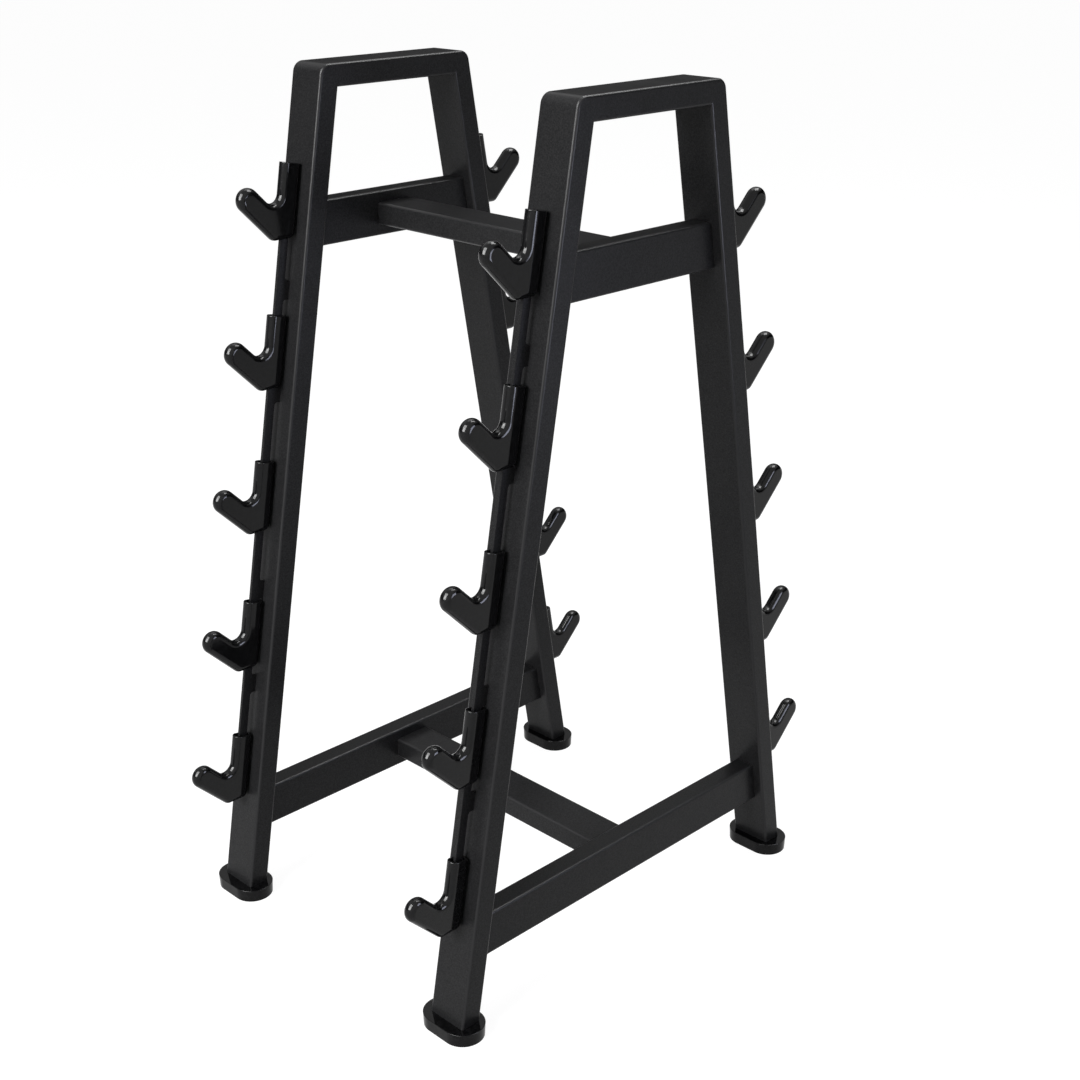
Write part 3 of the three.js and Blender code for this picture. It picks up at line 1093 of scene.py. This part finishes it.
@dataclass
class Feet:
    """Four moulded shoes under the legs."""

    layout: Layout
    finishes: Finishes
    length: float = 122.0
    width: float = 76.5
    height: float = 24.0
    draft: float = 1.0
    edge: float = 0.8
    floor_edge: float = 1.0
    leg_floor: float = 8.5  # the foot is centred on its leg at this height
    fit: float = 0.3
    socket_depth: float = 6.0  # as deep as one can look in beside the leg
    end_steps: int = 40
    socket_steps: int = 4
    floor_edge_steps: int = 3
    edge_steps: int = 5

    def middle(self, z: float) -> float:
        """Where the leg's middle line passes a height."""
        layout = self.layout
        run = (layout.height - z) * math.tan(layout.lean)
        return -layout.top_depth / 2 - run + layout.tube_thin / 2 / math.cos(layout.lean)

    def obround(self, draw: float) -> Outline:
        """The foot's outline, drawn in by a distance.

        Args:
            draw: How far it is drawn in.

        Returns:
            The outline.
        """
        radius = self.width / 2 - draw
        run = self.length / 2 - self.width / 2
        y = self.middle(self.leg_floor)
        right = arc((run, y), radius, -QUARTER, QUARTER, self.end_steps)
        return right + arc((-run, y), radius, QUARTER, 3 * QUARTER, self.end_steps)

    def socket(self, z: float) -> Outline:
        """The socket that takes the leg, cut level at a height.

        Args:
            z: The height above the floor.

        Returns:
            The outline, whose normals face into the socket.
        """
        layout = self.layout
        edge = layout.tube_edge
        x = layout.tube_wide / 2 + self.fit - edge
        y = layout.tube_thin / 2 / math.cos(layout.lean) + self.fit - edge
        socket = Outline()
        for i, (cx, cy) in enumerate([(x, y), (-x, y), (-x, -y), (x, -y)]):
            centre = (cx, cy + self.middle(z))
            socket += arc(centre, edge, i * QUARTER, (i + 1) * QUARTER, self.socket_steps, -1)
        return socket

    def foot(self, side: Side, end: End) -> None:
        """Builds one foot.

        Args:
            side: The side frame it is under.
            end: The leg it is under.
        """
        skin = Skin()
        rows = []
        for i in range(self.floor_edge_steps + 1):
            a = QUARTER * i / self.floor_edge_steps
            outline = self.obround(self.draft + self.floor_edge * (1 - math.sin(a)))
            z = self.floor_edge * (1 - math.cos(a))
            rows.append(skin.level(outline, z, math.sin(a), -math.cos(a)))
        for i in range(self.edge_steps + 1):
            a = QUARTER * i / self.edge_steps
            outline = self.obround(self.edge * (1 - math.cos(a)))
            z = self.height - self.edge * (1 - math.sin(a))
            rows.append(skin.level(outline, z, math.cos(a), math.sin(a)))
        skin.loft(rows, True)
        skin.cap(rows[0])
        floor = self.height - self.socket_depth
        mouth, low = self.socket(self.height), self.socket(floor)
        inner = skin.level(mouth, self.height, 0, 1)
        numbers = rows[-1] + inner
        loops = [[skin.points[i] for i in row] for row in (rows[-1], inner)]
        skin.faces.extend(tuple(numbers[i] for i in face) for face in tessellate_polygon(loops))
        skin.loft([skin.level(mouth, self.height, 1, 0), skin.level(low, floor, 1, 0)], True)
        skin.cap(skin.level(low, floor, 0, 1))
        node = node_name("foot", side, end)
        mesh = skin.mesh(f"{node}_moulding", self.layout.in_frame(side, end))
        stand_in(mesh, node, Slot.FOOT, self.finishes)

    def build(self) -> None:
        """Builds all feet."""
        for side, end in LEGS:
            self.foot(side, end)


# ---- Studio


@dataclass(frozen=True)
class Lamp:
    """One rectangular softbox, aimed at the rack. Angles are in degrees, power in watts.

    A lamp that is gloss_only shows in reflections and adds no diffuse light.
    """

    name: str
    azimuth: float
    elevation: float
    distance: float
    size: Point
    power: float
    colour: str = "ffffff"
    gloss_only: bool = False


@dataclass
class Studio:
    """The camera, the white floor and world, and the soft lamps."""

    azimuth: float = 45.0
    elevation: float = 22.02
    distance: float = 3057.1
    target: tuple[float, float, float] = (43.7, 47.8, 692.0)
    lens: float = 55.5
    sensor: float = 36.0
    sight: float = 100000.0
    lamp_aim: tuple[float, float, float] = (0.0, 0.0, 800.0)
    floor_reach: float = 30000.0
    floor_white: float = 0.93  # glow of the floor as it is seen
    floor_shade: str = "8c8c8c"  # takes the rack's shadow on top of that glow
    floor_bounce: str = "cfcfcf"  # what lights the rack from below
    fill: float = 0.18  # the world's light on the rack
    room: float = 0.008  # what reflections show away from the camera's side, low down
    ceiling: float = 1.25  # what they show there higher up
    ceiling_band: Point = (0.35, 0.6)  # sine of the elevation from the one to the other
    wall: float = 1.4  # what they show on the camera's side
    wall_band: Point = (0.1, 0.6)  # how far a ray heads to that side, from none to full
    lamps: tuple[Lamp, ...] = (
        Lamp("softbox_front", 2, 25, 7000, (2600, 3200), 420),
        Lamp("softbox_right", 107, 12, 7000, (1500, 2400), 25, "e2e6ff"),
        Lamp("softbox_above", 215, 68, 5000, (3000, 3000), 80),
        Lamp("card_front", 2, 36, 7000, (5600, 6000), 2600, gloss_only=True),
        Lamp("card_right", 104, 4, 2400, (900, 950), 46, "e4e8ff", gloss_only=True),
        Lamp("card_behind", 160, 62, 5000, (2500, 2500), 330, gloss_only=True),
    )

    @staticmethod
    def towards(azimuth: float, elevation: float) -> Vector:
        """The direction from the rack to a place given by its two angles.

        Args:
            azimuth: Degrees round from the front towards +X.
            elevation: Degrees above the horizon.

        Returns:
            A unit vector.
        """
        a, e = math.radians(azimuth), math.radians(elevation)
        return Vector((math.sin(a) * math.cos(e), -math.cos(a) * math.cos(e), math.sin(e)))

    def camera(self) -> None:
        """Sets up the camera at the photograph's view."""
        data = bpy.data.cameras.new("camera")
        data.lens = self.lens
        data.sensor_width = self.sensor
        data.clip_end = self.sight * MM
        camera = add_object("camera", data)
        back = self.towards(self.azimuth, self.elevation)
        camera.location = (Vector(self.target) + back * self.distance) * MM
        camera.rotation_euler = back.to_track_quat("Z", "Y").to_euler()
        bpy.context.scene.camera = camera

    def seen(self, tree: bpy.types.NodeTree) -> bpy.types.NodeSocket:
        """Tells camera, glossy and transmission rays from the rest.

        Args:
            tree: The node tree that needs to know.

        Returns:
            A socket that is 1 for those rays.
        """
        path = add_node(tree, "ShaderNodeLightPath")
        some = add_node(
            tree,
            "ShaderNodeMath",
            {"operation": "ADD"},
            {0: path.outputs["Is Camera Ray"], 1: path.outputs["Is Glossy Ray"]},
        )
        every = add_node(
            tree,
            "ShaderNodeMath",
            {"operation": "ADD", "use_clamp": True},
            {0: some.outputs[0], 1: path.outputs["Is Transmission Ray"]},
        )
        return every.outputs[0]

    def floor(self) -> None:
        """Lays the white floor, which keeps the rack's soft shadow."""
        r = self.floor_reach * MM
        mesh = bpy.data.meshes.new("floor")
        mesh.from_pydata([(-r, -r, 0), (r, -r, 0), (r, r, 0), (-r, r, 0)], [], [(0, 1, 2, 3)])
        material, tree = new_material("studio_floor_white")
        bounce = add_node(tree, "ShaderNodeBsdfDiffuse", {"Color": linear(self.floor_bounce)})
        shade = add_node(tree, "ShaderNodeBsdfDiffuse", {"Color": linear(self.floor_shade)})
        glow = add_node(
            tree, "ShaderNodeEmission", {"Color": linear("ffffff"), "Strength": self.floor_white}
        )
        shown = add_node(tree, "ShaderNodeAddShader", {}, {0: shade.outputs[0], 1: glow.outputs[0]})
        mix = add_node(
            tree,
            "ShaderNodeMixShader",
            {},
            {0: self.seen(tree), 1: bounce.outputs[0], 2: shown.outputs[0]},
        )
        add_node(tree, "ShaderNodeOutputMaterial", {}, {"Surface": mix.outputs[0]})
        mesh.materials.append(material)
        add_object("floor", mesh)

    def world(self) -> None:
        """Surrounds the rack with white.

        The world is plain white to the camera and dim where it lights the rack. Reflections
        show a room: dark away from the camera's side, and white on that side and overhead.
        """
        world = bpy.data.worlds.new("studio_white")
        world.use_nodes = True
        tree = world.node_tree
        tree.nodes.clear()
        way = add_node(tree, "ShaderNodeTexCoord").outputs["Generated"]
        heading = add_node(
            tree,
            "ShaderNodeVectorMath",
            {"operation": "DOT_PRODUCT", 1: self.towards(self.azimuth, 0)},
            {0: way},
        )
        height = add_node(tree, "ShaderNodeSeparateXYZ", {}, {0: way}).outputs["Z"]
        low, high = self.ceiling_band
        room = add_node(
            tree,
            "ShaderNodeMapRange",
            {"From Min": low, "From Max": high, "To Min": self.room, "To Max": self.ceiling},
            {"Value": height},
        )
        low, high = self.wall_band
        wall = add_node(
            tree,
            "ShaderNodeMapRange",
            {"From Min": low, "From Max": high, "To Max": self.wall},
            {"Value": heading.outputs["Value"], "To Min": room.outputs["Result"]},
        )
        path = add_node(tree, "ShaderNodeLightPath")
        shown = add_node(
            tree,
            "ShaderNodeMath",
            {"operation": "MAXIMUM"},
            {0: wall.outputs["Result"], 1: path.outputs["Is Camera Ray"]},
        )
        white = {"Color": linear("ffffff")}
        dim = add_node(tree, "ShaderNodeBackground", {**white, "Strength": self.fill})
        bright = add_node(tree, "ShaderNodeBackground", white, {"Strength": shown.outputs[0]})
        mix = add_node(
            tree,
            "ShaderNodeMixShader",
            {},
            {0: self.seen(tree), 1: dim.outputs[0], 2: bright.outputs[0]},
        )
        add_node(tree, "ShaderNodeOutputWorld", {}, {"Surface": mix.outputs[0]})
        bpy.context.scene.world = world

    def lights(self) -> None:
        """Hangs the softboxes."""
        for lamp in self.lamps:
            data = bpy.data.lights.new(lamp.name, "AREA")
            data.shape = "RECTANGLE"
            data.size, data.size_y = lamp.size[0] * MM, lamp.size[1] * MM
            data.energy = lamp.power
            data.color = linear(lamp.colour)[:3]
            light = add_object(lamp.name, data)
            light.visible_diffuse = not lamp.gloss_only
            back = self.towards(lamp.azimuth, lamp.elevation)
            light.location = (Vector(self.lamp_aim) + back * lamp.distance) * MM
            light.rotation_euler = back.to_track_quat("Z", "Y").to_euler()

    def build(self) -> None:
        """Sets up the whole studio."""
        self.camera()
        self.floor()
        self.world()
        self.lights()
        bpy.context.scene.view_settings.view_transform = "Standard"
        LOG.info("studio: camera, floor and %d lamps", len(self.lamps))


def main() -> None:
    """Builds and dresses the rack, piece by piece."""
    logging.basicConfig(level=logging.INFO, format="%(name)s: %(message)s")
    finishes = make_finishes()
    Studio().build()
    TubeFrame(LAYOUT, finishes).build()
    HookRails(LAYOUT, finishes, HOOK).build()
    HookCovers(LAYOUT, finishes, HOOK).build()
    Feet(LAYOUT, finishes).build()


if __name__ == "__main__":
    main()
